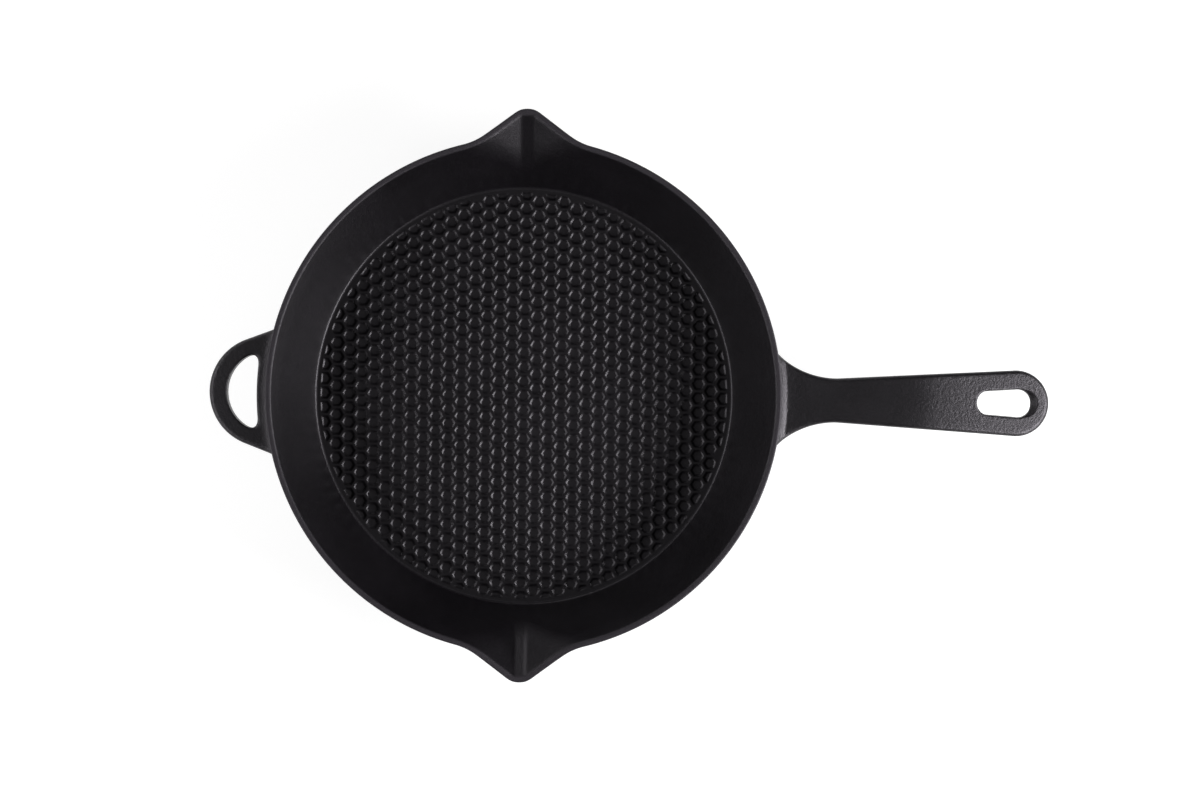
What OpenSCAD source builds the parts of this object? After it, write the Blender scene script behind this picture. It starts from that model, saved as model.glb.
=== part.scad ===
// Cast iron skillet with a honeycomb cooking floor, two pouring spouts, a long handle and a helper loop.
// Millimetres. The origin is the middle of the base, z is up, x runs along the long handle,
// y runs to the rear spout. The real pan is one casting: every node is a region of it, cut face to face.

/* [Pan] */
// Outer diameter of the rim
rim_d = 260; // [220:1:300]
// Height of the rim above the table
pan_h = 48; // [42:0.5:60]
// Diameter of the cooking floor where it meets the wall
floor_d = 217; // [200:1:224]
// Thickness of the side wall
wall_t = 3.8; // [3:0.1:5]
// Solid plate below the honeycomb
base_t = 4.3; // [3:0.1:7]
// Rounding between the floor and the wall, inside
corner_r = 2.5; // [1.5:0.1:4]
// Rounding of the outer heel
heel_r = 7; // [4:0.5:8]
// Height of the rim lip
lip_h = 4; // [3:0.1:6]
// Chamfer on both edges of the rim lip
lip_c = 1.2; // [0.6:0.1:1.4]

/* [Honeycomb] */
// Distance between the middles of two cells
cell_pitch = 7.5; // [6.5:0.1:10]
// Width of the ridge between two cells
ridge_w = 1.8; // [1.2:0.1:2.4]
// Depth of the cells
pocket_h = 0.9; // [0.6:0.1:1.6]
// Plain ring left between the cells and the wall rounding
border_w = 1.8; // [1.2:0.1:6]

/* [Spouts] */
// Reach of the spout beyond the rim, before its tip is rounded
spout_reach = 18.2; // [12:0.2:20]
// Angle between the flank of the spout and the rim
spout_angle = 36.7; // [33:0.1:40]
// Slope of the spout's keel above the horizontal
spout_rise = 40; // [36:0.5:45]
// Rounding of the keel
spout_r = 16; // [8:0.5:18]

/* [Long handle] */
// Length of the handle beyond the rim
handle_l = 136; // [110:1:170]
// Width at the narrowest place, the neck
neck_w = 22.4; // [18:0.2:28]
// Length of the flared root, from the rim to the neck
neck_l = 29; // [22:0.5:34]
// Radius of the flare
flare_r = 43; // [36:0.5:48]
// Width at the far end
end_w = 33.4; // [28:0.2:40]
// Thickness at the root
root_t = 13; // [10:0.2:15]
// Thickness at the far end
end_t = 9; // [7:0.2:11]
// Rise of the handle from the root to its highest place
handle_rise = 12; // [4:0.5:26]
// Length over which the handle rises before it falls
rise_l = 78; // [50:1:100]
// Fall of the handle from its highest place to the end
end_drop = 4.6; // [0:0.2:8]
// Half the length of the bend between rise and fall
arch_l = 14; // [6:0.5:20]
// Rounding between the wall and the top of the handle
neck_fillet = 5; // [3:0.2:6]
// Length of the hang hole
hole_l = 31; // [26:0.5:36]
// Width of the hang hole at its inner end
hole_w_in = 12.4; // [9:0.2:14]
// Width of the hang hole at its outer end
hole_w_out = 14.8; // [12:0.2:18]
// Metal left between the hang hole and the end
hole_edge = 6.2; // [5:0.2:9]

/* [Helper loop] */
// Reach of the loop beyond the rim
loop_reach = 29.2; // [24:0.2:34]
// Radius of the loop's outer bend
loop_r = 28.2; // [25:0.2:30]
// Half width of the loop where it meets the rim
loop_root = 32.2; // [31:0.2:36]
// Width of the loop's band
loop_band = 8.6; // [7:0.2:10]
// Thickness of the loop
loop_t = 9.5; // [7:0.1:12]
// Web between the rim and the finger hole
loop_web = 5.2; // [3.4:0.1:6]

/* [Hidden] */
$fn = 96;
iron = [0.13, 0.13, 0.14];
iron_light = [0.2, 0.2, 0.21];

rim_r = rim_d / 2;
floor_z = base_t + pocket_h;
lip_z = pan_h - lip_h;
// run of the wall per millimetre of height
wall_lean = (rim_r - wall_t - floor_d / 2) / (pan_h - floor_z);
function in_r(z) = rim_r - wall_t - wall_lean * (pan_h - z);
function out_r(z) = in_r(z) + wall_t;
wall_tilt = atan(wall_lean);

// tangent points of the inner rounding and of the heel
turn_in = 90 - wall_tilt;
corner_run = corner_r * tan(turn_in / 2);
plate_r = floor_d / 2 - corner_run;
corner_c = [plate_r, floor_z + corner_r];
heel_run = heel_r * tan(turn_in / 2);
heel_c = [out_r(0) - heel_run, heel_r];
// height of the heel above its upper tangent point
heel_rest = 1;
heel_h = max(heel_r, floor_z + corner_r) + heel_rest;
// the base plate ends this far inside the flat edge of the heel
seam_step = 2;
seam_r = min(plate_r, heel_c[0]) - seam_step;
arc_steps = 8;
function arc(c, r, a, b, n) = [for (i = [0:n]) c + r * [cos(a + (b - a) * i / n), sin(a + (b - a) * i / n)]];

// reach of the cutting bodies past the metal
over = 20;
field_r = plate_r - border_w;
cell_af = cell_pitch - ridge_w;
column_w = cell_pitch * sqrt(3) / 2;
columns = ceil(field_r / column_w);
rows = ceil(field_r / cell_pitch) + 1;
// smallest piece of a trimmed cell that is kept
sliver = 0.28 * cell_pitch;

// spout sections
tip_y = rim_r + spout_reach;
line_d = tip_y * cos(spout_angle);
spout_foot = line_d * sin(spout_angle) - sqrt(pow(rim_r, 2) - pow(line_d, 2)) * cos(spout_angle);
spout_half = spout_foot + 2 * wall_t;
spout_in_y = rim_r - 4 * wall_t - spout_reach;
function v_half(rise) = atan(1 / (tan(spout_angle) * sin(rise)));
// step of the spout's tip, seen from above, for one wall thickness
tip_step = wall_t / (sin(v_half(spout_rise)) * sin(spout_rise));

// handle lines
handle_x = rim_r + handle_l;
neck_x = rim_r + neck_l;
end_r = end_w / 2;
end_x = handle_x - end_r;
taper = asin((end_r - neck_w / 2) / (end_x - neck_x));
// the neck's rounding ends this far under the lip and starts this far outside it
lip_gap = 0.5;
root_z = lip_z - neck_fillet - lip_gap;
handle_in = rim_r - wall_t - over;
// straight runs between the flare and the grip, and between the grip and the hole
neck_run = 4;
eye_run = 8;
grip_x = neck_x + neck_run;
// the flare starts this far behind the foremost point of the rim
root_back = 2.5;
hole_x_out = handle_x - hole_edge - hole_w_out / 2;
hole_x_in = handle_x - hole_edge - hole_l + hole_w_in / 2;
eye_x = hole_x_in - hole_w_in / 2 - eye_run;
function along(x) = min(max((x - rim_r) / handle_l, 0), 1);
// the top climbs in one easy bend, with level ends
function climb(x) = min(max((x - rim_r) / rise_l, 0), 1);
// beyond the climb it falls in a straight line, which a round bend leads into
function past(x) = x - rim_r - rise_l;
function lead_in(x) = pow(min(max(past(x) + arch_l, 0), 2 * arch_l), 2) / (4 * arch_l);
function fall(x) = end_drop / (handle_l - rise_l) * (lead_in(x) + max(past(x) - arch_l, 0));
function top_z(x) = root_z + handle_rise * pow(climb(x), 2) * (3 - 2 * climb(x)) - fall(x);
function low_z(x) = top_z(x) - root_t + (root_t - end_t) * along(x);
side_steps = 20;

// loop lines
loop_x = -rim_r - loop_reach;
loop_c = loop_x + loop_r;
// the bend of the finger gap is this much wider than the band leaves
gap_ease = 0.9;
// depth of the loop's top under the lip
loop_drop = 3.5;
hole_r = loop_r - loop_band + gap_ease;
hole_c = loop_x + loop_band + hole_r;
loop_top = lip_z - loop_drop;
root_x = -sqrt(pow(rim_r, 2) - pow(loop_root, 2));
// the straight root line touches the bend
root_d = sqrt(pow(root_x - loop_c, 2) + pow(loop_root, 2));
root_a = atan2(loop_root, loop_c - root_x) - acos(min(1, loop_r / root_d));

module pan_outside() {
    rotate_extrude()
        polygon([[0, heel_h - over], [out_r(heel_h - over), heel_h - over],
                 [out_r(pan_h + over), pan_h + over], [0, pan_h + over]]);
}

module base_plate() {
    color(iron)
        cylinder(r = seam_r, h = base_t);
}

module cells() {
    intersection() {
        circle(r = field_r);
        union()
            for (i = [-columns:columns])
                for (j = [-rows:rows]) {
                    p = [i * column_w, (j + 0.5 * (abs(i) % 2)) * cell_pitch];
                    if (norm(p) < field_r + cell_af / 2 - sliver)
                        translate(p)
                            circle(d = cell_af / cos(30), $fn = 6);
                }
    }
}

module honeycomb_floor() {
    color(iron_light)
        translate([0, 0, base_t])
            linear_extrude(height = pocket_h)
                difference() {
                    circle(r = plate_r);
                    cells();
                }
}

module heel_ring() {
    color(iron)
        rotate_extrude()
            polygon(concat(
                [[seam_r, 0]],
                arc(heel_c, heel_r, -90, -wall_tilt, arc_steps),
                [[out_r(heel_h), heel_h], [in_r(heel_h), heel_h]],
                arc(corner_c, corner_r, -wall_tilt, -90, arc_steps),
                [[plate_r, base_t], [seam_r, base_t]]));
}

// plan V of the spout, as the section square to a keel that climbs at the given angle
module v_section(rise, inset, r) {
    half = v_half(rise);
    point_w = -inset / sin(half);
    c = [0, point_w - r / sin(half)];
    side = 2 * spout_half;
    polygon(concat(
        [[-side, point_w - side / tan(half)]],
        arc(c, r, 180 - half, half, arc_steps),
        [[side, point_w - side / tan(half)], [side, -8 * side], [-side, -8 * side]]));
}

module v_prism(y, rise, inset, r) {
    reach = 3 * rim_r;
    translate([0, y, pan_h])
        rotate([rise - 90, 0, 0])
            translate([0, 0, -reach / 2])
                linear_extrude(height = reach)
                    v_section(rise, inset, r);
}

module spout_box(top) {
    translate([-spout_half, spout_in_y, heel_h])
        cube([2 * spout_half, tip_y - spout_in_y + over, top - heel_h]);
}

// open channel of one spout, with the chamfered inner edge of its lip
module spout_channel() {
    intersection() {
        spout_box(pan_h + over);
        union() {
            v_prism(tip_y, spout_rise, wall_t, spout_r - wall_t);
            v_prism(tip_y - tip_step + lip_c, 45, 0, spout_r - wall_t);
        }
    }
}

module spout() {
    difference() {
        intersection() {
            spout_box(pan_h);
            v_prism(tip_y, spout_rise, 0, spout_r);
            v_prism(tip_y - lip_c, 135, 0, spout_r);
        }
        spout_channel();
        pan_outside();
    }
}

module spout_rear() {
    color(iron_light)
        spout();
}

module spout_front() {
    color(iron_light)
        rotate([0, 0, 180])
            spout();
}

module side_wall() {
    color(iron)
        difference() {
            rotate_extrude()
                polygon([[in_r(heel_h), heel_h], [out_r(heel_h), heel_h],
                         [out_r(lip_z), lip_z], [in_r(lip_z), lip_z]]);
            spout_channel();
            rotate([0, 0, 180])
                spout_channel();
        }
}

module rim_lip() {
    difference() {
        rotate_extrude()
            polygon([[in_r(lip_z), lip_z], [out_r(lip_z), lip_z],
                     [out_r(pan_h - lip_c), pan_h - lip_c], [out_r(pan_h) - lip_c, pan_h],
                     [in_r(pan_h) + lip_c, pan_h], [in_r(pan_h - lip_c), pan_h - lip_c]]);
        spout_channel();
        rotate([0, 0, 180])
            spout_channel();
    }
}

module half_space(s) {
    translate([s > 0 ? 0 : -2 * rim_r, -2 * rim_r, 0])
        cube([2 * rim_r, 4 * rim_r, pan_h + over]);
}

module rim_lip_left() {
    color(iron_light)
        intersection() {
            rim_lip();
            half_space(-1);
        }
}

module rim_lip_right() {
    color(iron_light)
        intersection() {
            rim_lip();
            half_space(1);
        }
}

module hang_hole() {
    lean = asin((hole_w_out - hole_w_in) / 2 / (hole_x_out - hole_x_in));
    polygon(concat(
        arc([hole_x_out, 0], hole_w_out / 2, -90 - lean, 90 + lean, 2 * arc_steps),
        arc([hole_x_in, 0], hole_w_in / 2, 90 + lean, 270 - lean, 2 * arc_steps)));
}

module handle_plan() {
    flare_c = [neck_x + flare_r * sin(taper), neck_w / 2 + flare_r * cos(taper)];
    flare_start = 180 + acos((flare_c[0] - rim_r + root_back) / flare_r);
    flare = arc(flare_c, flare_r, flare_start, 270 + taper, arc_steps);
    upper = concat([[handle_in, flare[0][1]]], flare, arc([end_x, 0], end_r, 90 + taper, 0, 2 * arc_steps));
    lower = [for (i = [len(upper) - 2:-1:0]) [upper[i][0], -upper[i][1]]];
    polygon(concat(upper, lower));
}

module handle_side() {
    start_x = rim_r + lip_gap + neck_fillet;
    fillet = arc([start_x, top_z(start_x) + neck_fillet], neck_fillet, 180, 270, arc_steps);
    stations = [for (i = [1:side_steps]) start_x + (handle_x + over - start_x) * i / side_steps];
    upper = concat([[handle_in, fillet[0][1]]], fillet, [for (x = stations) [x, top_z(x)]]);
    lower = concat([for (i = [side_steps - 1:-1:0]) [stations[i], low_z(stations[i])]],
                   [[start_x, low_z(start_x)], [handle_in, low_z(handle_in)]]);
    rotate([90, 0, 0])
        translate([0, 0, -rim_r])
            linear_extrude(height = 2 * rim_r)
                polygon(concat(upper, lower));
}

module handle_span(x0, x1) {
    intersection() {
        linear_extrude(height = 3 * pan_h)
            handle_plan();
        handle_side();
        translate([x0, -rim_r, 0])
            cube([x1 - x0, 2 * rim_r, 3 * pan_h]);
    }
}

module handle_neck() {
    color(iron)
        difference() {
            handle_span(handle_in, grip_x);
            pan_outside();
        }
}

module handle_grip() {
    color(iron_light)
        handle_span(grip_x, eye_x);
}

module handle_eye() {
    color(iron)
        difference() {
            handle_span(eye_x, handle_x + over);
            linear_extrude(height = 3 * pan_h)
                hang_hole();
        }
}

module loop_plan() {
    bend = arc([loop_c, 0], loop_r, 180 - root_a, 180 + root_a, 4 * arc_steps);
    difference() {
        polygon(concat([[root_x + over, loop_root], [root_x, loop_root]], bend,
                       [[root_x, -loop_root], [root_x + over, -loop_root]]));
        difference() {
            translate([hole_c, 0])
                circle(r = hole_r);
            circle(r = rim_r + loop_web);
        }
    }
}

module helper_loop() {
    color(iron)
        difference() {
            translate([0, 0, loop_top - loop_t])
                linear_extrude(height = loop_t)
                    loop_plan();
            pan_outside();
        }
}

base_plate();
honeycomb_floor();
heel_ring();
side_wall();
rim_lip_left();
rim_lip_right();
spout_rear();
spout_front();
handle_neck();
handle_grip();
handle_eye();
helper_loop();
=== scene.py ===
import bpy
import bmesh
import numpy as np
from mathutils import Matrix, Vector


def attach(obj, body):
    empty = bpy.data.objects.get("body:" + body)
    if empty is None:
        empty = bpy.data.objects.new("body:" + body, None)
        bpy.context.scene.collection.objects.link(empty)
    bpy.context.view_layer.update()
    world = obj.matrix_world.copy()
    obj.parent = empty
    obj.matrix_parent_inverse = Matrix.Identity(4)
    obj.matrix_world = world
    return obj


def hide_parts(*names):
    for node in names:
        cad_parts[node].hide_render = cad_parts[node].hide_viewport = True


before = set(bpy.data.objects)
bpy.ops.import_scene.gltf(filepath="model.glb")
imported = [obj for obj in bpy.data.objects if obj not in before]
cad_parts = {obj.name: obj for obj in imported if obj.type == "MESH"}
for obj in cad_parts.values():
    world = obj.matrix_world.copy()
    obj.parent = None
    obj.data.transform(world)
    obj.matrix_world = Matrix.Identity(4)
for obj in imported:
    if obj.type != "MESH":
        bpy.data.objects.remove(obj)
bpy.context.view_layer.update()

mm = 0.001      # lengths are in millimetres where no comment says metres, the meshes are in metres
print("frame loaded,", len(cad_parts), "solids")

# welding distance in metres, and the angle in degrees from which an edge stays sharp
meshLook = {"weld": 2e-6, "sharp": 48}


# the larger of two values, with a round of width k where they cross
def softMax(a, b, k):
    return np.maximum(a, b) + np.maximum(k - np.abs(a - b), 0) ** 2 / (4 * k)


# fall of a rounded edge of radius r at distance d from the side: r less the height of a quarter circle
def edgeDrop(d, r):
    q = r - np.clip(d, 0, r)
    return r - np.sqrt(r * r - q * q)


# from 0 to 1 between two values, with flat ends
def easeStep(v, low, high):
    t = np.clip((v - low) / (high - low), 0, 1)
    return t * t * (3 - 2 * t)


# distances from an edge at equal turns of its quarter circle, from the side inwards
def cornerRun(r, count):
    turn = np.linspace(0, np.pi / 2, count)
    return r * (1 - np.cos(turn))


# evenly spaced values between two ends, without the ends themselves
def between(start, end, count):
    return np.linspace(start, end, count + 2)[1:-1]


# quads between neighbouring rows and columns of a grid of points, wrapped where the surface closes
def gridQuads(rows, cols, wrapRows=False, wrapCols=False):
    rowCount = rows if wrapRows else rows - 1
    colCount = cols if wrapCols else cols - 1
    i, j = np.meshgrid(np.arange(rowCount), np.arange(colCount), indexing="ij")
    nextI, nextJ = (i + 1) % rows, (j + 1) % cols
    return np.stack([i * cols + j, i * cols + nextJ, nextI * cols + nextJ, nextI * cols + j], -1)


# joins several (points, faces) shells into one list of each
def joinShells(shells):
    points, faces, start = [], [], 0
    for shellPoints, shellFaces in shells:
        points.append(np.reshape(shellPoints, (-1, 3)))
        faces += [[start + k for k in face] for face in shellFaces]
        start += len(points[-1])
    return np.concatenate(points), faces


# a closed profile carried along a path: rows of profile points, with flat ends unless the path closes
def sweptShell(rows, closed):
    count, width = rows.shape[:2]
    faces = gridQuads(count, width, closed, True).reshape(-1, 4).tolist()
    if not closed:
        last = (count - 1) * width
        faces += [list(range(width)), list(range(last, last + width))]
    return rows.reshape(-1, 3), faces


# one piece of the part: points and faces become a smooth closed mesh that takes the place of a CAD node
def makePiece(name, points, faces, node, material):
    mesh = bpy.data.meshes.new(name)
    mesh.from_pydata((np.asarray(points) * mm).tolist(), [], faces)
    work = bmesh.new()
    work.from_mesh(mesh)
    bmesh.ops.remove_doubles(work, verts=work.verts, dist=meshLook["weld"])
    bmesh.ops.recalc_face_normals(work, faces=work.faces)
    openEdges = sum(len(edge.link_faces) != 2 for edge in work.edges)
    work.to_mesh(mesh)
    work.free()
    mesh.shade_smooth()
    mesh.set_sharp_from_angle(angle=np.radians(meshLook["sharp"]))
    mesh.materials.append(material)
    piece = bpy.data.objects.new(name, mesh)
    bpy.context.scene.collection.objects.link(piece)
    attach(piece, "root")
    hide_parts(node)
    triangles = sum(len(face.vertices) - 2 for face in mesh.polygons)
    print(f"  {name}: {triangles} triangles, {openEdges} open edges")


# iron finish: sizes of the sand marks in metres with the detail of each noise, the part of the noise that
# is spread over the full range, and the shares of cloud and pebble in the mottle
grainLook = {"pebble": (0.0015, 2), "fine": (0.0006, 3), "cloud": (0.030, 3), "low": 0.3, "high": 0.7,
             "middle": 0.5, "cloudShare": 0.6, "pebbleShare": 0.4}
skinValues = {"Pebble": 1.0, "Fine": 0.5, "Smooth": 0.4, "Rough": 0.6,
              "Worn From": 1.0, "Worn To": 1.1, "Worn Rough": 0.6, "Worn Grain": 0.0}
skinTone = (0.01, 0.01, 0.01, 1)


# sand-cast skin: two sizes of noise make the height, a wide cloud shifts tone and roughness
def castSkinGroup():
    group = bpy.data.node_groups.new("castSkin", "ShaderNodeTree")
    face = group.interface
    face.new_socket("Vector", in_out="INPUT", socket_type="NodeSocketVector")
    for label, value in skinValues.items():
        face.new_socket(label, in_out="INPUT", socket_type="NodeSocketFloat").default_value = value
    for label in ("Dark", "Light", "Worn And Sheen"):
        face.new_socket(label, in_out="INPUT", socket_type="NodeSocketColor").default_value = skinTone
    face.new_socket("Tone", in_out="OUTPUT", socket_type="NodeSocketColor")
    face.new_socket("Roughness", in_out="OUTPUT", socket_type="NodeSocketFloat")
    face.new_socket("Height", in_out="OUTPUT", socket_type="NodeSocketFloat")
    nodes, links = group.nodes, group.links
    given, made = nodes.new("NodeGroupInput"), nodes.new("NodeGroupOutput")

    # noise of one size over the surface
    def noise(kind):
        size, detail = grainLook[kind]
        node = nodes.new("ShaderNodeTexNoise")
        node.inputs["Scale"].default_value = 1 / size
        node.inputs["Detail"].default_value = detail
        links.new(given.outputs["Vector"], node.inputs["Vector"])
        return node.outputs["Fac"]

    # one step of arithmetic on two values, each a number or a socket
    def sums(kind, a, b):
        node = nodes.new("ShaderNodeMath")
        node.operation = kind
        for socket, value in zip(node.inputs, (a, b)):
            if isinstance(value, (int, float)):
                socket.default_value = value
            else:
                links.new(value, socket)
        return node.outputs[0]

    # the middle part of a noise, spread from a low to a high value, or from 0 to 1
    def spread(fac, low, high):
        node = nodes.new("ShaderNodeMapRange")
        node.inputs["From Min"].default_value = grainLook["low"]
        node.inputs["From Max"].default_value = grainLook["high"]
        links.new(fac, node.inputs["Value"])
        if low:
            links.new(low, node.inputs["To Min"])
            links.new(high, node.inputs["To Max"])
        return node.outputs["Result"]

    # height of one size of noise about its middle, times the amount asked for
    def marks(fac, label):
        return sums("MULTIPLY", sums("SUBTRACT", fac, grainLook["middle"]), given.outputs[label])

    # a mix of two values or two colours
    def mixed(kind, factor, a, b):
        node = nodes.new("ShaderNodeMix")
        node.data_type = kind
        first, result = {"FLOAT": (2, 0), "RGBA": (6, 2)}[kind]
        for socket, value in ((0, factor), (first, a), (first + 1, b)):
            links.new(value, node.inputs[socket])
        return node.outputs[result]

    pebble, fine, cloud = noise("pebble"), noise("fine"), noise("cloud")
    relief = sums("ADD", marks(pebble, "Pebble"), marks(fine, "Fine"))
    mottle = sums("ADD", sums("MULTIPLY", cloud, grainLook["cloudShare"]),
                  sums("MULTIPLY", pebble, grainLook["pebbleShare"]))
    # coarser, rougher skin above a height, as on the ground top of the rim, and there a paler tone that is
    # painted sheen for the light the rim's top catches
    axes, rimTopRange = nodes.new("ShaderNodeSeparateXYZ"), nodes.new("ShaderNodeMapRange")
    links.new(given.outputs["Vector"], axes.inputs[0])
    links.new(axes.outputs["Z"], rimTopRange.inputs["Value"])
    links.new(given.outputs["Worn From"], rimTopRange.inputs["From Min"])
    links.new(given.outputs["Worn To"], rimTopRange.inputs["From Max"])
    wearAndSheen = rimTopRange.outputs["Result"]
    tone = mixed("RGBA", spread(mottle, None, None), given.outputs["Dark"], given.outputs["Light"])
    rough = spread(mottle, given.outputs["Smooth"], given.outputs["Rough"])
    coarse = sums("ADD", sums("MULTIPLY", wearAndSheen, given.outputs["Worn Grain"]), 1.0)
    # the paler tone mixed in above the height is painted sheen on the rim's top
    links.new(mixed("RGBA", wearAndSheen, tone, given.outputs["Worn And Sheen"]), made.inputs["Tone"])
    links.new(mixed("FLOAT", wearAndSheen, rough, given.outputs["Worn Rough"]), made.inputs["Roughness"])
    links.new(sums("MULTIPLY", relief, coarse), made.inputs["Height"])
    return group


# black iron: a faint violet cast in the skin, fainter in its sheen
ironTint, sheenTint = (1.0, 0.84, 1.09), (1.0, 0.95, 1.03, 1)
viewportTone = (0.03, 0.03, 0.032, 1)


# a level of grey in the iron's tint
def ironTone(level):
    return tuple(level * part for part in ironTint) + (1,)


# one iron: the skin group with its own values drives tone, roughness and bump; the sheen is plain
def ironMaterial(name, group, bump, specular, values):
    material = bpy.data.materials.new(name)
    material.use_nodes = True
    nodes, links = material.node_tree.nodes, material.node_tree.links
    shader = nodes["Principled BSDF"]
    place = nodes.new("ShaderNodeTexCoord")
    skin = nodes.new("ShaderNodeGroup")
    relief = nodes.new("ShaderNodeBump")
    skin.node_tree = group
    for label, value in values.items():
        skin.inputs[label].default_value = value
    links.new(place.outputs["Object"], skin.inputs["Vector"])
    relief.inputs["Strength"].default_value = 1.0
    relief.inputs["Distance"].default_value = bump
    links.new(skin.outputs["Height"], relief.inputs["Height"])
    links.new(skin.outputs["Tone"], shader.inputs["Base Color"])
    links.new(skin.outputs["Roughness"], shader.inputs["Roughness"])
    links.new(relief.outputs["Normal"], shader.inputs["Normal"])
    shader.inputs["Specular IOR Level"].default_value = specular
    shader.inputs["Specular Tint"].default_value = sheenTint
    material.diffuse_color = viewportTone
    return material


castSkin = castSkinGroup()
# the pan's paler tone above a height on the rim's top is painted sheen; the rougher, coarser skin there is
# the finish
panIron = ironMaterial("panIron", castSkin, bump=0.00010, specular=0.5, values={
    "Pebble": 0.6, "Fine": 0.4, "Dark": ironTone(0.003), "Light": ironTone(0.006),
    "Smooth": 0.34, "Rough": 0.44, "Worn And Sheen": ironTone(0.013),
    "Worn From": 0.0466, "Worn To": 0.0474, "Worn Rough": 0.58, "Worn Grain": 1.8})
floorIron = ironMaterial("floorIron", castSkin, bump=0.00012, specular=0.39, values={
    "Pebble": 0.5, "Fine": 0.5, "Dark": ironTone(0.002), "Light": ironTone(0.004),
    "Smooth": 0.32, "Rough": 0.42})
handleIron = ironMaterial("handleIron", castSkin, bump=0.00022, specular=0.5, values={
    "Pebble": 0.8, "Fine": 0.6, "Dark": ironTone(0.001), "Light": ironTone(0.003),
    "Smooth": 0.36, "Rough": 0.47})
print("iron finishes made")


# pan body: radii, heights and roundings, then the number of points along each run
pan = {"rim": 131.0, "height": 48.0, "wall": 3.8, "floor": 108.5, "floorLevel": 5.2, "plate": 3.8,
       "corner": 1.8, "heel": 7.0, "seam": 8.7, "discIn": 2.0,
       "lip": 44.0, "lipRound": 1.9, "lipInner": 5.0, "lipOuter": 2.1, "lipLean": 0.7,
       "thin": 0.8, "thinFrom": 38.0, "thinPower": 1.5,
       "arcSteps": 211, "lipSteps": 3, "lipTurns": 19, "lowRows": 7, "highRows": 11,
       "heelSteps": 13, "cornerSteps": 9, "discRings": 9}
spout = {"tip": 148.7, "angle": 36.7, "rise": 41.0, "round": 11.0, "innerTip": 142.5, "trough": 3.1,
         "troughRound": 0.8, "blend": 3.0, "innerBlend": 5.0, "halfTurn": 15.5, "foot": 21.5,
         "nearest": 70.0, "slack": 1e-6, "arcSteps": 93, "wallSteps": 24}

wallLean = (pan["rim"] - pan["wall"] - pan["floor"]) / (pan["height"] - pan["floorLevel"])
cornerTurn = np.pi / 2 - np.arctan(wallLean)
plateRadius = pan["floor"] - pan["corner"] * np.tan(cornerTurn / 2)


# radius of the wall's outer face at a height: a straight cone
def outerRadius(z):
    return pan["rim"] - wallLean * (pan["height"] - z)


# radius of the inner face: the same cone less the wall, which thins towards the lip
def innerRadius(z):
    share = np.clip((z - pan["thinFrom"]) / (pan["height"] - pan["thinFrom"]), 0, 1)
    return outerRadius(z) - pan["wall"] + pan["thin"] * share ** pan["thinPower"]


# how far back the spout's faces lie at a height: the keel falls inwards in a straight line
def keelBack(z):
    return (pan["height"] - z) / np.tan(np.radians(spout["rise"]))


# outer line of the spout at x: a V with a round tip
def spoutOuter(x, z):
    turn, side = np.radians(spout["angle"]), np.abs(x)
    tipMiddle = spout["tip"] - spout["round"] / np.cos(turn)
    tipArc = tipMiddle + np.sqrt(np.maximum(spout["round"] ** 2 - side ** 2, 0))
    line = np.where(side < spout["round"] * np.sin(turn), tipArc, spout["tip"] - side * np.tan(turn))
    return line - keelBack(z)


# inner line of the spout at x: a V whose point is cut off square, so that a flat channel runs down it
def spoutInner(x, z):
    fall = (np.abs(x) - spout["trough"]) * np.tan(np.radians(spout["angle"]))
    return spout["innerTip"] - softMax(fall, 0 * fall, spout["troughRound"]) - keelBack(z)


# a wall face at an angle and a height: the cone, or the spout where it stands further out
def wallFace(theta, z, radius, spoutLine, blend):
    x, y = radius * np.cos(theta), radius * np.sin(theta)
    reach = np.where(np.abs(y) > spout["nearest"], spoutLine(x, z), 0)
    return x, np.sign(y) * softMax(np.abs(y), reach, blend)


# a point in the wall's thickness: across runs from -1 on the inner face to 1 on the outer face
def wallPoint(theta, z, across):
    theta, z, across = np.broadcast_arrays(theta, z, across)
    xIn, yIn = wallFace(theta, z, innerRadius(z), spoutInner, spout["innerBlend"])
    xOut, yOut = wallFace(theta, z, outerRadius(z), spoutOuter, spout["blend"])
    share = (1 + across) / 2
    return np.stack([xIn + (xOut - xIn) * share, yIn + (yOut - yIn) * share, z], -1)


# height and depth in the wall along the lip: up the inner face, round a tight inner and an easy outer
# corner with a top that leans to the inside, and down the outer face
def lipProfile(bottom, steps):
    brow = pan["height"] - pan["lipRound"]
    turn = np.linspace(np.pi, 0, pan["lipTurns"])
    power = 2 / np.where(np.cos(turn) < 0, pan["lipInner"], pan["lipOuter"])
    up = np.linspace(bottom, brow, steps, endpoint=False)
    over = np.sign(np.cos(turn)) * np.abs(np.cos(turn)) ** power
    lean = pan["lipLean"] * (1 - over) / 2
    crown = brow + pan["lipRound"] * np.abs(np.sin(turn)) ** power - lean
    z = np.concatenate([up, crown, up[::-1]])
    return z, np.concatenate([-np.ones(steps), over, np.ones(steps)])


# evenly spaced angles between two angles in degrees
def turns(start, end, count):
    return np.radians(np.linspace(start, end, count))


half = spout["halfTurn"]
turnRight = turns(half - 90, 90 - half, pan["arcSteps"])
turnLeft = turns(90 + half, 270 - half, pan["arcSteps"])
turnRear = turns(90 - half, 90 + half, spout["arcSteps"])
turnFront = turns(270 - half, 270 + half, spout["arcSteps"])
turnAll = np.concatenate([turnRight[:-1], turnRear[:-1], turnLeft[:-1], turnFront[:-1]])


# a length of lip or a spout: the lip profile carried round the rim
def rimPiece(turn, bottom, steps):
    z, across = lipProfile(bottom, steps)
    return sweptShell(wallPoint(turn[:, None], z, across), False)


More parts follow.
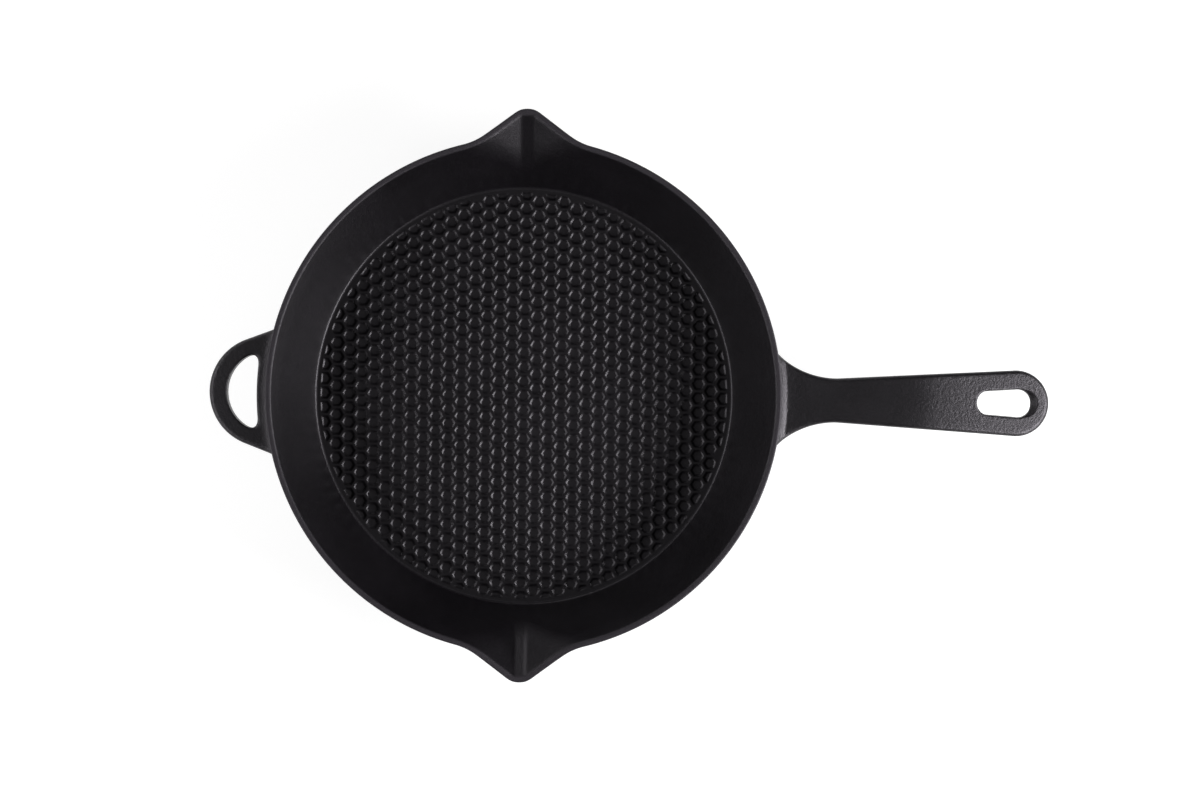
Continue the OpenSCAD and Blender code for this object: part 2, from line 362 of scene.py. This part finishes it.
makePiece("rimLipLeft", *rimPiece(turnLeft, pan["lip"], pan["lipSteps"]), "rim_lip_left", panIron)
makePiece("rimLipRight", *rimPiece(turnRight, pan["lip"], pan["lipSteps"]), "rim_lip_right", panIron)
makePiece("spoutRear", *rimPiece(turnRear, spout["foot"], spout["wallSteps"]), "spout_rear", panIron)
makePiece("spoutFront", *rimPiece(turnFront, spout["foot"], spout["wallSteps"]), "spout_front", panIron)


# side wall: a low ring all round, and two tall arcs that stand on it between the spouts
def sideWall():
    lowRows, highRows = pan["lowRows"], pan["highRows"]
    low = np.linspace(pan["seam"], spout["foot"], lowRows)
    high = np.linspace(spout["foot"], pan["lip"], highRows)
    ring = wallPoint(turnAll[:, None], np.concatenate([low, low[::-1]]), np.repeat([-1.0, 1.0], lowRows))
    quads = gridQuads(len(turnAll), 2 * lowRows, True, True)
    # the angle from the nearer spout; the ring's top shows only under the spouts
    wrapped = np.mod(turnAll + np.pi / 2, np.pi)
    spoutSide = np.minimum(wrapped, np.pi - wrapped) < np.radians(half) - spout["slack"]
    spoutCell = spoutSide | np.roll(spoutSide, -1)
    keep = np.ones(quads.shape[:2], bool)
    keep[:, lowRows - 1] = spoutCell
    shells = [(ring, quads[keep].tolist())]
    width = 2 * highRows
    for turn in (turnRight, turnLeft):
        across = np.repeat([-1.0, 1.0], highRows)
        arc = wallPoint(turn[:, None], np.concatenate([high, high[::-1]]), across)
        strip = gridQuads(len(turn), width).reshape(-1, 4).tolist()
        ends = [list(range(width)), list(range((len(turn) - 1) * width, len(turn) * width))]
        shells.append((arc, strip + ends))
    return joinShells(shells)


makePiece("sideWall", *sideWall(), "side_wall", panIron)


# a profile of (radius, height) points turned round the pan's axis
def turned(profile):
    radius, z = np.transpose(profile)
    turn = turnAll[:, None]
    return np.stack([radius * np.cos(turn), radius * np.sin(turn), z + 0 * turn], -1)


# points on an arc from one angle to another, in degrees
def arcPoints(centre, radius, start, end, count):
    turn = turns(start, end, count)
    return np.stack([centre[0] + radius * np.cos(turn), centre[1] + radius * np.sin(turn)], -1)


# heel: outer rounding under the wall, inner rounding beside the floor
wallTilt = np.degrees(np.arctan(wallLean))
heelCentre = outerRadius(0) - pan["heel"] * np.tan(cornerTurn / 2)
discRadius = min(plateRadius, heelCentre) - pan["discIn"]
cornerCentre = (plateRadius, pan["floorLevel"] + pan["corner"])
heelProfile = np.concatenate([
    [[discRadius, 0]],
    arcPoints((heelCentre, pan["heel"]), pan["heel"], -90, -wallTilt, pan["heelSteps"]),
    [[outerRadius(pan["seam"]), pan["seam"]], [innerRadius(pan["seam"]), pan["seam"]]],
    arcPoints(cornerCentre, pan["corner"], -wallTilt, -90, pan["cornerSteps"]),
    [[plateRadius, pan["plate"]], [discRadius, pan["plate"]]]])
makePiece("heelRing", *sweptShell(turned(heelProfile), True), "heel_ring", panIron)

# base: a disc in rings, closed on the axis above and below
rings = np.linspace(0, discRadius, pan["discRings"])
lowRings = np.stack([rings, 0 * rings], -1)
topRings = np.stack([rings[::-1], 0 * rings + pan["plate"]], -1)
basePoints = turned(np.concatenate([lowRings, topRings])).reshape(-1, 3)
baseFaces = gridQuads(len(turnAll), 2 * pan["discRings"], True).reshape(-1, 4).tolist()
makePiece("baseDisc", basePoints, baseFaces, "base_plate", panIron)
print("pan body made")


# honeycomb floor: each cell has 12 outline points, its corners and the middles of its sides
honeycomb = {"pitch": 7.5, "depth": 0.7, "border": 0.8, "crest": 0.35, "foot": 1.70, "cornerRound": 5.0,
             "sliver": 1.6, "least": -2, "most": 9, "runSteps": 6, "weld": 0.002}
fieldRadius = plateRadius - honeycomb["border"]
hexTurns = np.radians(np.arange(12) * 30.0)
flatTurns = np.radians(np.arange(6) * 60.0 + 30)
ringShares = np.array([0.52, 0.60, 0.69, 0.78, 0.87, 1.0])
cutShares = np.array([0.2, 0.35, 0.5, 0.6, 0.7, 0.8, 0.9, 1.0])


# depth of the floor in a cell: a smooth slope over the distance to the nearest ridge line or the border,
# where the nearest is a soft minimum that rounds the corners
def pocketDepth(points, centre):
    flat = np.stack([np.cos(flatTurns), np.sin(flatTurns)], -1)
    away = honeycomb["pitch"] / 2 - (points - centre) @ flat.T
    edge = fieldRadius - np.linalg.norm(points, axis=-1)
    away = np.concatenate([away, edge[..., None]], -1)
    k = honeycomb["cornerRound"]
    near = -np.log(np.exp(-k * np.clip(away, honeycomb["least"], honeycomb["most"])).sum(-1)) / k
    return honeycomb["depth"] * easeStep(near, honeycomb["crest"], honeycomb["foot"])


# points of one cell, in rings that shrink from outline to middle; slivers at the border stay plain
def cellRings(outline, middle, centre, shares):
    rings = middle + shares[:, None, None] * (outline - middle)
    plain = np.linalg.norm(centre) >= fieldRadius + honeycomb["sliver"]
    depth = pocketDepth(rings, centre) * (not plain)
    depth[-1] = 0
    return np.concatenate([rings, (pan["floorLevel"] - depth)[..., None]], -1)


# quads between the rings of a cell, and one face in its middle
def cellShell(rings):
    count = rings.shape[1]
    return rings, gridQuads(len(rings), count, False, True).reshape(-1, 4).tolist() + [list(range(count))]


# outline of a cell that the border cuts: the corners inside, and a run along the border between
# the places where the outline leaves and comes back
def cutOutline(corners):
    inside = np.linalg.norm(corners, axis=1) <= fieldRadius
    start = int(np.flatnonzero(inside & ~np.roll(inside, 1))[0])
    corners, inside = np.roll(corners, -start, 0), np.roll(inside, -start)
    kept = corners[inside]

    # where the line from a to b meets the border circle: the root of a square equation
    def crossing(a, b):
        d = b - a
        p, q, r = d @ d, a @ d, a @ a - fieldRadius ** 2
        return a + d * (-q + np.sqrt(q * q - p * r)) / p

    leave = crossing(kept[-1], corners[inside.sum() % len(corners)])
    back = crossing(kept[0], corners[-1])
    first, last = np.arctan2(leave[1], leave[0]), np.arctan2(back[1], back[0])
    swing = (last - first + np.pi) % (2 * np.pi) - np.pi
    turn = first + swing * np.linspace(0, 1, honeycomb["runSteps"])
    run = fieldRadius * np.stack([np.cos(turn), np.sin(turn)], -1)
    return np.concatenate([kept, run])


# all cells of the hexagonal grid inside the border, whole or cut by it
def honeycombFloor():
    pitch = honeycomb["pitch"]
    reach = int(fieldRadius / pitch) + 2
    i, j = np.meshgrid(np.arange(-reach - 2, reach + 3), np.arange(-reach, reach + 1), indexing="ij")
    centres = np.stack([i * pitch * np.sqrt(3) / 2, (j + 0.5 * (i % 2)) * pitch], -1).reshape(-1, 2)
    radius = pitch / 2 / np.cos(hexTurns % (np.pi / 3) - np.pi / 6)
    shape = radius[:, None] * np.stack([np.cos(hexTurns), np.sin(hexTurns)], -1)
    outlines = centres[:, None] + shape
    inside = np.linalg.norm(outlines, axis=-1) <= fieldRadius
    whole, cut = inside.all(1), inside.any(1) & ~inside.all(1)
    shells = []
    for outline, centre in zip(outlines[whole], centres[whole]):
        shells.append(cellShell(cellRings(outline, centre, centre, ringShares)))
    for outline, centre in zip(outlines[cut], centres[cut]):
        outline = cutOutline(outline)
        shells.append(cellShell(cellRings(outline, outline.mean(0), centre, cutShares)))
    return joinShells(shells)


# points sorted by place and faces by their points, since bmesh's own order can change from run to run
def fixedOrder(points, faces):
    order = np.lexsort(points.T)
    rank = np.argsort(order)
    return points[order], sorted(rank[face].tolist() for face in faces)


# the plain border and the underside are drawn out from the open edge of the cells
def closeFloor(points, faces):
    work = bmesh.new()
    corner = [work.verts.new(point) for point in points.tolist()]
    for face in faces:
        work.faces.new([corner[k] for k in face])
    bmesh.ops.remove_doubles(work, verts=work.verts, dist=honeycomb["weld"])
    for level in (pan["floorLevel"], pan["plate"]):
        rim = [edge for edge in work.edges if len(edge.link_faces) == 1]
        grown = bmesh.ops.extrude_edge_only(work, edges=rim)["geom"]
        for vert in grown:
            if isinstance(vert, bmesh.types.BMVert):
                flat = Vector((vert.co.x, vert.co.y, 0)).normalized() * plateRadius
                vert.co = (flat.x, flat.y, level)
    openEdges = [edge for edge in work.edges if len(edge.link_faces) == 1]
    bmesh.ops.holes_fill(work, edges=openEdges, sides=0)
    work.verts.index_update()
    points = np.array([vert.co[:] for vert in work.verts])
    faces = [[vert.index for vert in face.verts] for face in work.faces]
    work.free()
    return fixedOrder(points, faces)


makePiece("honeycombFloor", *closeFloor(*honeycombFloor()), "honeycomb_floor", floorIron)
print("honeycomb floor made")


# long handle: places along x, widths, heights and roundings, then the number of points along each run
handle = {"start": 130.0, "length": 135.6, "neck": 11.2, "neckEnd": 159.0, "flare": 43.0,
          "flareFrom": 127.5, "endRound": 16.7, "gripStart": 163.0, "eyeStart": 220.8,
          "root": 38.5, "rise": 12.0, "riseFrom": 130.0, "riseTo": 208.0, "droop": 4.6, "arch": 14.0,
          "rootThick": 13.0, "endThick": 9.0,
          "topEdge": 2.2, "lowEdge": 3.0, "wallTop": 43.5, "wallLow": 21.5, "sunk": 0.8,
          "slopeEnd": 134.1, "slope": 0.50, "slopeBend": 0.05, "slopeRound": 0.5,
          "lowFillet": 4.0, "filletLevel": 23.0, "capShares": (0.04, 0.36, 0.68), "passes": 6,
          "edgeSteps": 8, "flatSteps": 15, "sideSteps": 4, "neckRows": 61, "gripRows": 41,
          "eyeSideSteps": 25, "tipSteps": 65}
hangHole = {"inner": (235.0, 6.2), "outer": (249.4, 7.2), "edge": 0.9, "draft": 0.4, "endDraft": -1.4,
            "bevel": 3.0, "bevelSlope": 1.2, "bevelPower": 1.5, "bevelRound": 0.3, "bandSteps": 13}
handleTip = handle["start"] + handle["length"]
endCentre = handleTip - handle["endRound"]
taper = np.arcsin((handle["endRound"] - handle["neck"]) / (endCentre - handle["neckEnd"]))


# the top climbs from the pan in one easy bend, arches over and falls in a straight line to the end
def handleTop(x):
    past = x - handle["riseTo"]
    fall = handle["droop"] * softMax(past, 0 * past, handle["arch"]) / (handleTip - handle["riseTo"])
    return handle["root"] + handle["rise"] * easeStep(x, handle["riseFrom"], handle["riseTo"]) - fall


# the underside lies below the top by a thickness that falls evenly from root to end
def handleLow(x):
    along = np.clip((x - handle["start"]) / handle["length"], 0, 1)
    return handleTop(x) - handle["rootThick"] + (handle["rootThick"] - handle["endThick"]) * along


# half the width: a straight taper, and an arc that flares into the pan
def handleHalf(x):
    back = np.clip(handle["neckEnd"] - np.maximum(x, handle["flareFrom"]), 0, handle["flare"])
    flare = handle["flare"] - np.sqrt(handle["flare"] ** 2 - back ** 2)
    return handle["neck"] + np.maximum(x - handle["neckEnd"], 0) * np.tan(taper) + flare


# the section as a loop: each point lies at share times the half width plus a shift, and at a depth from
# 0 on top to 1 below plus a fall
def handleLoop():
    topEdge, lowEdge = handle["topEdge"], handle["lowEdge"]
    top, low = cornerRun(topEdge, handle["edgeSteps"]), cornerRun(lowEdge, handle["edgeSteps"])
    topFall, lowFall = edgeDrop(top, topEdge), edgeDrop(low, lowEdge)
    flat = between(1, -1, handle["flatSteps"])
    side = between(0, 1, handle["sideSteps"])
    one, none = np.ones(handle["edgeSteps"]), np.zeros(handle["edgeSteps"])
    sideOne, sideNone = np.ones(handle["sideSteps"]), np.zeros(handle["sideSteps"])
    share = [one, flat, -one, -sideOne, -one, -flat, one, sideOne]
    shift = [-top, -flat * topEdge, top[::-1], sideNone, low, flat * lowEdge, -low[::-1], sideNone]
    depth = [none, 0 * flat, none, side, one, 1 + 0 * flat, one, side[::-1]]
    sideFall = -topEdge + side * (topEdge + lowEdge)
    fall = [-topFall, 0 * flat, -topFall[::-1], sideFall, lowFall, 0 * flat, lowFall[::-1], sideFall[::-1]]
    return [np.concatenate(part) for part in (share, shift, depth, fall)]


# a slope up to the pan, which steepens inwards from a rounded foot: a straight part and a square part
def slopeUp(inwards, look):
    run = softMax(inwards, 0 * inwards, look["slopeRound"])
    return look["slope"] * run + look["slopeBend"] * run ** 2


# the section carried along x; the neck's rows are bent to the pan's wall at its inner end, where the half
# width and the place along x are found by turns
def handleRows(along, bent):
    share, shift, depth, fall = handleLoop()
    wallTop = outerRadius(handle["wallTop"]) - handle["sunk"]
    wallLow = outerRadius(handle["wallLow"]) - handle["sunk"]
    wall = wallTop + (wallLow - wallTop) * depth
    along = along[:, None]
    if bent:
        width = handleHalf(along * handle["gripStart"] + (1 - along) * handle["start"])
        for _ in range(handle["passes"]):
            edgeX = (1 - along) * np.sqrt(wallTop ** 2 - width ** 2) + along * handle["gripStart"]
            width = handleHalf(edgeX)
        y = share * width + shift
        x = (1 - along) * np.sqrt(wall ** 2 - y ** 2) + along * handle["gripStart"]
    else:
        y = share * handleHalf(along) + shift
        x = along + 0 * y
    reach = np.hypot(x, y)
    top = handleTop(x) + slopeUp(handle["slopeEnd"] - reach, handle)
    low = handleLow(x) - edgeDrop(reach - outerRadius(handle["filletLevel"]), handle["lowFillet"])
    return np.stack([x, y, (1 - depth) * top + depth * low + fall], -1)


# the neck's hidden end: its first row shrunk in steps to the middle, each point laid a little inside the
# wall's outer face
def neckEnd(row):
    middle = np.array([0, (row[:, 2].min() + row[:, 2].max()) / 2])
    flat = middle + np.array(handle["capShares"])[:, None, None] * (row[:, 1:] - middle)
    x = np.sqrt((outerRadius(flat[..., 1]) - handle["sunk"]) ** 2 - flat[..., 0] ** 2)
    return np.concatenate([x[..., None], flat], -1)


neck = handleRows(np.linspace(0, 1, handle["neckRows"]), True)
neck = np.concatenate([neckEnd(neck[0]), neck])
grip = handleRows(np.linspace(handle["gripStart"], handle["eyeStart"], handle["gripRows"]), False)
makePiece("handleNeck", *sweptShell(neck, False), "handle_neck", handleIron)
makePiece("handleGrip", *sweptShell(grip, False), "handle_grip", handleIron)


# a ring section as a loop: a share of the band plus a shift, at a depth from 0 on top to 1 below
def ringLoop(innerEdge, outerEdge, bandSteps, edgeSteps=8, sideSteps=3):
    inner, outer = cornerRun(innerEdge, edgeSteps), cornerRun(outerEdge, edgeSteps)
    band, side = between(0, 1, bandSteps), between(0, 1, sideSteps)
    share = np.concatenate([0 * inner, band, 1 + 0 * outer])
    shift = np.concatenate([inner, innerEdge - band * (innerEdge + outerEdge), -outer[::-1]])
    allShare = np.concatenate([share, 1 + 0 * side, share[::-1], 0 * side])
    allShift = np.concatenate([shift, 0 * side, shift[::-1], 0 * side])
    depth = np.concatenate([0 * share, side, 1 + 0 * share, side[::-1]])
    return allShare, allShift, depth


# outline of the eye: the seam with the grip, the two sides and the round end
def eyeOutline():
    share, shift = handleLoop()[:2]
    topCount = 2 * handle["edgeSteps"] + handle["flatSteps"]
    seamY = (handleHalf(handle["eyeStart"]) * share + shift)[:topCount]
    seam = np.stack([0 * seamY + handle["eyeStart"], seamY], -1)
    sideEnd = endCentre - handle["endRound"] * np.sin(taper)
    sideX = np.linspace(handle["eyeStart"], sideEnd, handle["eyeSideSteps"])
    side = np.stack([sideX, handleHalf(sideX)], -1)
    swing = 90 + np.degrees(taper)
    tip = arcPoints((endCentre, 0), handle["endRound"], -swing, swing, handle["tipSteps"])
    return np.concatenate([seam, (side * [1, -1])[1:-1], tip, side[::-1][1:-1]])


# eye: a ring round the hang hole; each outline point looks back at the hole's middle line along a ray
# that leans with the hole's taper, and the hole is drafted for the mould and bevelled at its far end
def handleEye():
    outline = eyeOutline()
    (x0, r0), (x1, r1) = hangHole["inner"], hangHole["outer"]
    lean = (r1 - r0) / (x1 - x0)
    share = np.clip((outline[:, 0] + lean * np.abs(outline[:, 1]) - x0) / (x1 - x0), 0, 1)
    middle = np.stack([x0 + share * (x1 - x0), 0 * share], -1)
    ray = outline - middle
    length = np.linalg.norm(ray, axis=1)
    ray /= length[:, None]
    bandShare, bandShift, depth = ringLoop(hangHole["edge"], handle["topEdge"], hangHole["bandSteps"])
    farEnd = np.clip(ray[:, 0], 0, 1)[:, None]
    draft = (hangHole["draft"] + hangHole["endDraft"] * farEnd) * depth
    radius = (r0 + share * (r1 - r0))[:, None] - draft
    run = bandShare * (length[:, None] - radius) + bandShift
    spot = middle[:, None] + ray[:, None] * (radius + run)[..., None]
    x, y = spot[..., 0], spot[..., 1]
    sideAway = (handleHalf(x) - np.abs(y)) * np.cos(taper)
    endAway = handle["endRound"] - np.hypot(x - endCentre, y)
    away = np.where(x + np.abs(y) * np.tan(taper) < endCentre, sideAway, endAway)
    bevelRun = hangHole["bevel"] * farEnd ** hangHole["bevelPower"] - run
    bevel = softMax(bevelRun, 0 * run, hangHole["bevelRound"]) * hangHole["bevelSlope"] * farEnd
    holeFall = edgeDrop(run, hangHole["edge"])
    top = handleTop(x) - edgeDrop(away, handle["topEdge"]) - holeFall - bevel
    low = handleLow(x) + edgeDrop(away, handle["lowEdge"]) + holeFall
    return np.stack([x, y, (1 - depth) * top + depth * low], -1)


makePiece("handleEye", *sweptShell(handleEye(), True), "handle_eye", handleIron)
print("long handle made")


# helper loop: places along x, radii, heights and roundings, then the counts
helperLoop = {"middle": -131.3, "round": 28.2, "rootX": -126.0, "rootHalf": 32.2,
              "top": 40.5, "thick": 9.5, "holeMiddle": -130.1, "holeRound": 20.5, "web": 135.4,
              "cornerRound": 7.0,
              "edge": 2.4, "holeEdge": 0.9, "lowFillet": 3.5, "filletDrop": 2.0,
              "sunk": 1.6, "eye": -144.0,
              "slopeEnd": 134.0, "slope": 0.10, "slopeBend": 0.03, "slopeRound": 1.2,
              "holeReach": 24.0, "loopReach": 60.0, "halvings": 45, "steps": 240, "bandSteps": 10}


# distance inside the loop's outline: from the bend, or from the straight root line that touches it
def loopInside(x, y):
    dx, rootDx = x - helperLoop["middle"], helperLoop["rootX"] - helperLoop["middle"]
    far = np.hypot(rootDx, helperLoop["rootHalf"])
    touch = np.arctan2(helperLoop["rootHalf"], rootDx) + np.arccos(helperLoop["round"] / far)
    bend = helperLoop["round"] - np.hypot(dx, y)
    line = helperLoop["round"] - (dx * np.cos(touch) + np.abs(y) * np.sin(touch))
    return np.where(np.arctan2(np.abs(y), dx) > touch, bend, line)


# distance outside the finger hole: from its bend, or from the web beside the pan
def holeOutside(x, y):
    bend = np.hypot(x - helperLoop["holeMiddle"], y) - helperLoop["holeRound"]
    return softMax(bend, helperLoop["web"] - np.hypot(x, y), helperLoop["cornerRound"])


# where a ray from the loop's eye first meets a line: halving the gap in which the distance changes sign
def rayMeets(away, turn, far):
    near, far = 0 * turn, far + 0 * turn
    sign = np.sign(away(helperLoop["eye"] + 0 * turn, 0 * turn))
    for _ in range(helperLoop["halvings"]):
        mid = (near + far) / 2
        same = np.sign(away(helperLoop["eye"] + mid * np.cos(turn), mid * np.sin(turn))) == sign
        near, far = np.where(same, mid, near), np.where(same, far, mid)
    return (near + far) / 2


# the loop's outer line at a height: the outline, or the pan's wall with the loop's side sunk into it
def loopOuter(turn, level):
    wall = outerRadius(level) - helperLoop["sunk"]

    def inside(x, y):
        return np.minimum(loopInside(x, y), np.hypot(x, y) - wall)

    return rayMeets(inside, turn, helperLoop["loopReach"])[:, None]


# the loop: a rounded band carried round the finger hole, with a slope up to the pan and a fillet below
def loopRows():
    turn = np.linspace(-np.pi, np.pi, helperLoop["steps"] + 1)[:-1]
    edge, holeEdge = helperLoop["edge"], helperLoop["holeEdge"]
    bandShare, bandShift, depth = ringLoop(holeEdge, edge, helperLoop["bandSteps"])
    top, low = helperLoop["top"], helperLoop["top"] - helperLoop["thick"]
    inner = rayMeets(holeOutside, turn, helperLoop["holeReach"])[:, None]
    outerTop, outerLow = loopOuter(turn, top), loopOuter(turn, low)
    outer = outerTop + (outerLow - outerTop) * depth
    reach = inner + bandShare * (outer - inner) + bandShift
    x, y = helperLoop["eye"] + reach * np.cos(turn)[:, None], reach * np.sin(turn)[:, None]
    fall = edgeDrop(loopInside(x, y), edge) + edgeDrop(holeOutside(x, y), holeEdge)
    rise = slopeUp(helperLoop["slopeEnd"] - np.hypot(x, y), helperLoop)
    wallAway = np.hypot(x, y) - outerRadius(low - helperLoop["filletDrop"])
    fallBelow = edgeDrop(wallAway, helperLoop["lowFillet"])
    z = (1 - depth) * (top - fall + rise) + depth * (low + fall - fallBelow)
    return np.stack([x, y, z], -1)


makePiece("helperLoop", *sweptShell(loopRows(), True), "helper_loop", handleIron)
print("helper loop made")


# table in metres; the gap keeps the base and the paper apart
table = {"size": 6.0, "glow": 0.80, "tone": 0.35, "paper": 0.75, "gap": 0.0002}


# a plain level of grey
def grey(level):
    return (level,) * 3 + (1,)


# a white table: even white to the camera and in reflections, with the soft shadow laid over it
def makeTable():
    square = np.array([[-1, -1, 0], [1, -1, 0], [1, 1, 0], [-1, 1, 0]])
    corners = table["size"] / 2 * square - [0, 0, table["gap"]]
    mesh = bpy.data.meshes.new("table")
    mesh.from_pydata(corners.tolist(), [], [[0, 1, 2, 3]])
    material = bpy.data.materials.new("tablePaper")
    material.use_nodes = True
    nodes, links = material.node_tree.nodes, material.node_tree.links
    nodes.remove(nodes["Principled BSDF"])
    path, glow = nodes.new("ShaderNodeLightPath"), nodes.new("ShaderNodeEmission")
    paper, shade = nodes.new("ShaderNodeBsdfDiffuse"), nodes.new("ShaderNodeBsdfDiffuse")
    added, mix = nodes.new("ShaderNodeAddShader"), nodes.new("ShaderNodeMixShader")
    seen = [nodes.new("ShaderNodeMath") for _ in range(2)]
    for node in seen:
        node.operation = "MAXIMUM"
    links.new(path.outputs["Is Camera Ray"], seen[0].inputs[0])
    links.new(path.outputs["Is Glossy Ray"], seen[0].inputs[1])
    links.new(seen[0].outputs[0], seen[1].inputs[0])
    links.new(path.outputs["Is Transmission Ray"], seen[1].inputs[1])
    glow.inputs["Strength"].default_value = table["glow"]
    paper.inputs["Color"].default_value = grey(table["paper"])
    shade.inputs["Color"].default_value = grey(table["tone"])
    links.new(glow.outputs[0], added.inputs[0])
    links.new(shade.outputs[0], added.inputs[1])
    links.new(seen[1].outputs[0], mix.inputs[0])
    links.new(paper.outputs[0], mix.inputs[1])
    links.new(added.outputs[0], mix.inputs[2])
    links.new(mix.outputs[0], nodes["Material Output"].inputs["Surface"])
    mesh.materials.append(material)
    plane = bpy.data.objects.new("table", mesh)
    bpy.context.scene.collection.objects.link(plane)


makeTable()

# lamps: places and sizes in metres, power in watts, all aimed at one point in the pan
lampAim = Vector((0, 0, 0.03))
lamps = {"keyLamp": {"place": (0.48, -0.12, 0.285), "size": (0.44, 0.19), "power": 4.35},
         "fillLamp": {"place": (-0.68, -0.10, 0.45), "size": (1.10, 0.34), "power": 4.8},
         "backLamp": {"place": (-0.35, 0.90, 0.30), "size": (0.60, 0.30), "power": 1.4},
         "topLamp": {"place": (0.0, 0.0, 1.75), "size": (1.2, 1.2), "power": 1.5}}
roomGlow = 0.035
for name, lamp in lamps.items():
    data = bpy.data.lights.new(name, "AREA")
    data.shape = "RECTANGLE"
    data.size, data.size_y = lamp["size"]
    data.energy = lamp["power"]
    holder = bpy.data.objects.new(name, data)
    holder.location = lamp["place"]
    holder.rotation_euler = (lampAim - Vector(lamp["place"])).to_track_quat("-Z", "Y").to_euler()
    bpy.context.scene.collection.objects.link(holder)

room = bpy.data.worlds.new("room")
room.use_nodes = True
background = room.node_tree.nodes["Background"]
background.inputs["Color"].default_value = grey(1)
background.inputs["Strength"].default_value = roomGlow
bpy.context.scene.world = room

# camera: straight above, its distance and the frame's width at the rim in metres, the frame and the two
# centres in photo pixels, sensor in millimetres, roll in degrees
shot = {"distance": 1.30, "widthAtRim": 0.6051, "frame": (1200, 800), "axis": (541.0, 397.0),
        "panCentre": (523.30, 395.60), "sensor": 36, "roll": 0.9}
wide, high = shot["frame"]
axisX, axisY = shot["axis"]
panX, panY = shot["panCentre"]
camera = bpy.data.cameras.new("topCamera")
camera.sensor_width = shot["sensor"]
camera.lens = shot["sensor"] * shot["distance"] / shot["widthAtRim"]
camera.shift_x = (wide / 2 - axisX) / wide
camera.shift_y = (axisY - high / 2) / wide
pixel = shot["widthAtRim"] / wide
roll = np.radians(shot["roll"])
spot = Matrix.Rotation(roll, 4, "Z") @ Vector(((axisX - panX) * pixel, (panY - axisY) * pixel, 0))
eye = bpy.data.objects.new("topCamera", camera)
eye.location = (spot.x, spot.y, shot["distance"] + pan["height"] * mm)
eye.rotation_euler = (0, 0, roll)
bpy.context.scene.collection.objects.link(eye)
bpy.context.scene.camera = eye
bpy.context.scene.view_settings.view_transform = "Standard"
print("table, lamps and camera placed")
